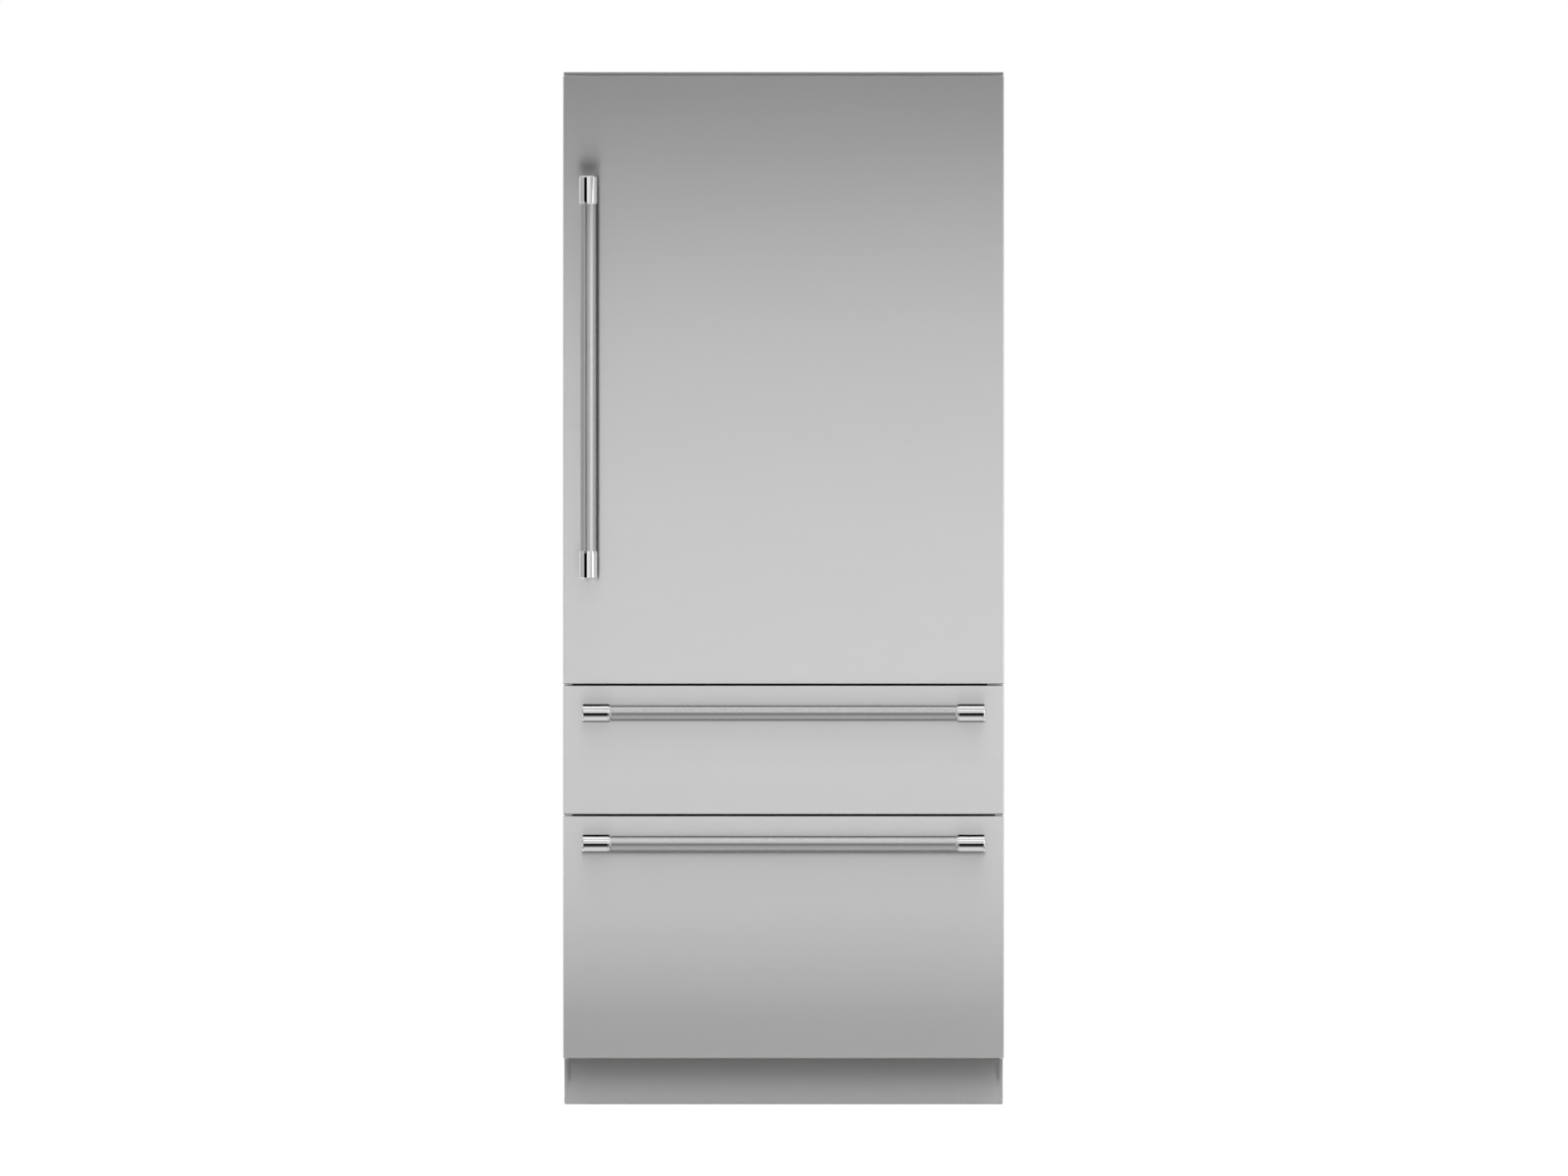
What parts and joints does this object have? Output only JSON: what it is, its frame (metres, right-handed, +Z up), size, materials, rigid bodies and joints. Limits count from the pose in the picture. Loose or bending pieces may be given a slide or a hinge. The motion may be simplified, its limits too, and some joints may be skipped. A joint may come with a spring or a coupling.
{
  "type": "built-in bottom-freezer refrigerator",
  "caption": "Tall built-in refrigerator in brushed stainless steel, with a right-hinged door above two freezer drawers, tubular handles with polished ends and a toe kick.",
  "frame": {"origin": "centre of the footprint on the floor, counting the handles that stand out at the front", "axes": "+Z up, the fronts and the handles face -Y, +X to the right as seen from the front"},
  "size_m": [0.908, 0.6769, 2.127],
  "materials": {
    "case_steel": "satin",
    "foam": "matte",
    "white_plastic": "satin",
    "stainless_trim": "brushed",
    "base_steel": "satin",
    "black_enamel": "gloss",
    "satin_metal": "satin",
    "clear_glass": "polished",
    "black_plastic": "satin",
    "hinge_steel": "satin",
    "runner_steel": "satin",
    "aluminium_fins": "satin",
    "roller_plastic": "matte",
    "clear_plastic": "gloss",
    "stainless": "brushed",
    "gasket_rubber": "matte",
    "satin_stainless": "brushed",
    "polished_metal": "polished"
  },
  "bodies": {
    "cabinet": {"outer_case": "case_steel", "insulation": "foam", "fridge_liner": "white_plastic", "freezer_liner": "white_plastic", "front_frame": "case_steel", "top_trim": "stainless_trim", "base_frame": "base_steel", "toe_kick": "stainless_trim", "machine_cover": "base_steel", "compressor": "black_enamel", "condenser": "black_enamel", "condenser_fan_frame": "base_steel", "shelf_tracks": "satin_metal", "shelf_frame_1": "satin_metal", "shelf_frame_2": "satin_metal", "shelf_frame_3": "satin_metal", "shelf_glass": "clear_glass", "crisper_frame": "white_plastic", "control_panel": "black_plastic", "air_tower": "satin_metal", "hinge_upper": "hinge_steel", "hinge_lower": "hinge_steel", "runner_channels": "runner_steel", "evaporator": "aluminium_fins", "freezer_back_panel": "white_plastic"},
    "door": {"door_panel": "stainless", "door_body": "white_plastic", "door_gasket": "gasket_rubber", "door_handle_bar": "satin_stainless", "door_handle_ends": "polished_metal", "dairy_bin": "clear_plastic", "door_bin_middle": "clear_plastic", "door_bin_lower": "clear_plastic", "hinge_bushes": "black_plastic"},
    "dairy_lid": {"dairy_lid": "clear_plastic"},
    "upper_drawer": {"upper_drawer_panel": "stainless", "upper_drawer_body": "white_plastic", "upper_drawer_gasket": "gasket_rubber", "upper_handle_bar": "satin_stainless", "upper_handle_ends": "polished_metal", "upper_bin": "white_plastic", "upper_carriage": "runner_steel"},
    "upper_slides": {"upper_runner_slides": "runner_steel"},
    "lower_drawer": {"lower_drawer_panel": "stainless", "lower_drawer_body": "white_plastic", "lower_drawer_gasket": "gasket_rubber", "lower_handle_bar": "satin_stainless", "lower_handle_ends": "polished_metal", "lower_bin": "white_plastic", "lower_carriage": "runner_steel"},
    "lower_slides": {"lower_runner_slides": "runner_steel"},
    "freezer_tray": {"freezer_tray": "white_plastic"},
    "crisper_left": {"crisper_left": "clear_plastic"},
    "crisper_right": {"crisper_right": "clear_plastic"},
    "condenser_fan": {"condenser_fan": "black_plastic"},
    "evaporator_fan": {"evaporator_fan": "white_plastic"},
    "roller_left": {"roller_left": "roller_plastic"},
    "roller_right": {"roller_right": "roller_plastic"},
    "leg_left": {"leg_left": "hinge_steel"},
    "leg_right": {"leg_right": "hinge_steel"}
  },
  "joints": [
    {"name": "door_hinge", "type": "hinge", "parent": "cabinet", "child": "door", "pos_m": [0.434, -0.2215, 1.4935], "axis": [0, 0, 1], "range_deg": [0, 115]},
    {"name": "dairy_lid_hinge", "type": "hinge", "parent": "door", "child": "dairy_lid", "pos_m": [0, -0.1755, 1.875], "axis": [1, 0, 0], "range_deg": [0, 88]},
    {"name": "upper_drawer_slide", "type": "slide", "parent": "cabinet", "child": "upper_drawer", "axis": [0, -1, 0], "range_m": [0, 0.4]},
    {"name": "upper_runner_slide", "type": "slide", "parent": "cabinet", "child": "upper_slides", "axis": [0, -1, 0], "range_m": [0, 0.2]},
    {"name": "lower_drawer_slide", "type": "slide", "parent": "cabinet", "child": "lower_drawer", "axis": [0, -1, 0], "range_m": [0, 0.4]},
    {"name": "lower_runner_slide", "type": "slide", "parent": "cabinet", "child": "lower_slides", "axis": [0, -1, 0], "range_m": [0, 0.2]},
    {"name": "freezer_tray_slide", "type": "slide", "parent": "lower_drawer", "child": "freezer_tray", "axis": [0, 1, 0], "range_m": [0, 0.155]},
    {"name": "crisper_left_slide", "type": "slide", "parent": "cabinet", "child": "crisper_left", "axis": [0, -1, 0], "range_m": [0, 0.065]},
    {"name": "crisper_right_slide", "type": "slide", "parent": "cabinet", "child": "crisper_right", "axis": [0, -1, 0], "range_m": [0, 0.065]},
    {"name": "condenser_fan_spin", "type": "hinge", "parent": "cabinet", "child": "condenser_fan", "pos_m": [-0.102, 0.2435, 0.148], "axis": [1, 0, 0], "continuous": true},
    {"name": "evaporator_fan_spin", "type": "hinge", "parent": "cabinet", "child": "evaporator_fan", "pos_m": [0, 0.2545, 0.7405], "axis": [0, 1, 0], "continuous": true},
    {"name": "roller_left_spin", "type": "hinge", "parent": "cabinet", "child": "roller_left", "pos_m": [-0.3925, 0.2785, 0.022], "axis": [1, 0, 0], "continuous": true},
    {"name": "roller_right_spin", "type": "hinge", "parent": "cabinet", "child": "roller_right", "pos_m": [0.3925, 0.2785, 0.022], "axis": [1, 0, 0], "continuous": true},
    {"name": "leg_left_screw", "type": "slide", "parent": "cabinet", "child": "leg_left", "axis": [0, 0, 1], "range_m": [-0.02, 0]},
    {"name": "leg_right_screw", "type": "slide", "parent": "cabinet", "child": "leg_right", "axis": [0, 0, 1], "range_m": [-0.02, 0]}
  ],
  "couplings": [
    {"joint": "upper_runner_slide", "follows": "upper_drawer_slide", "ratio": 0.5},
    {"joint": "lower_runner_slide", "follows": "lower_drawer_slide", "ratio": 0.5}
  ]
}
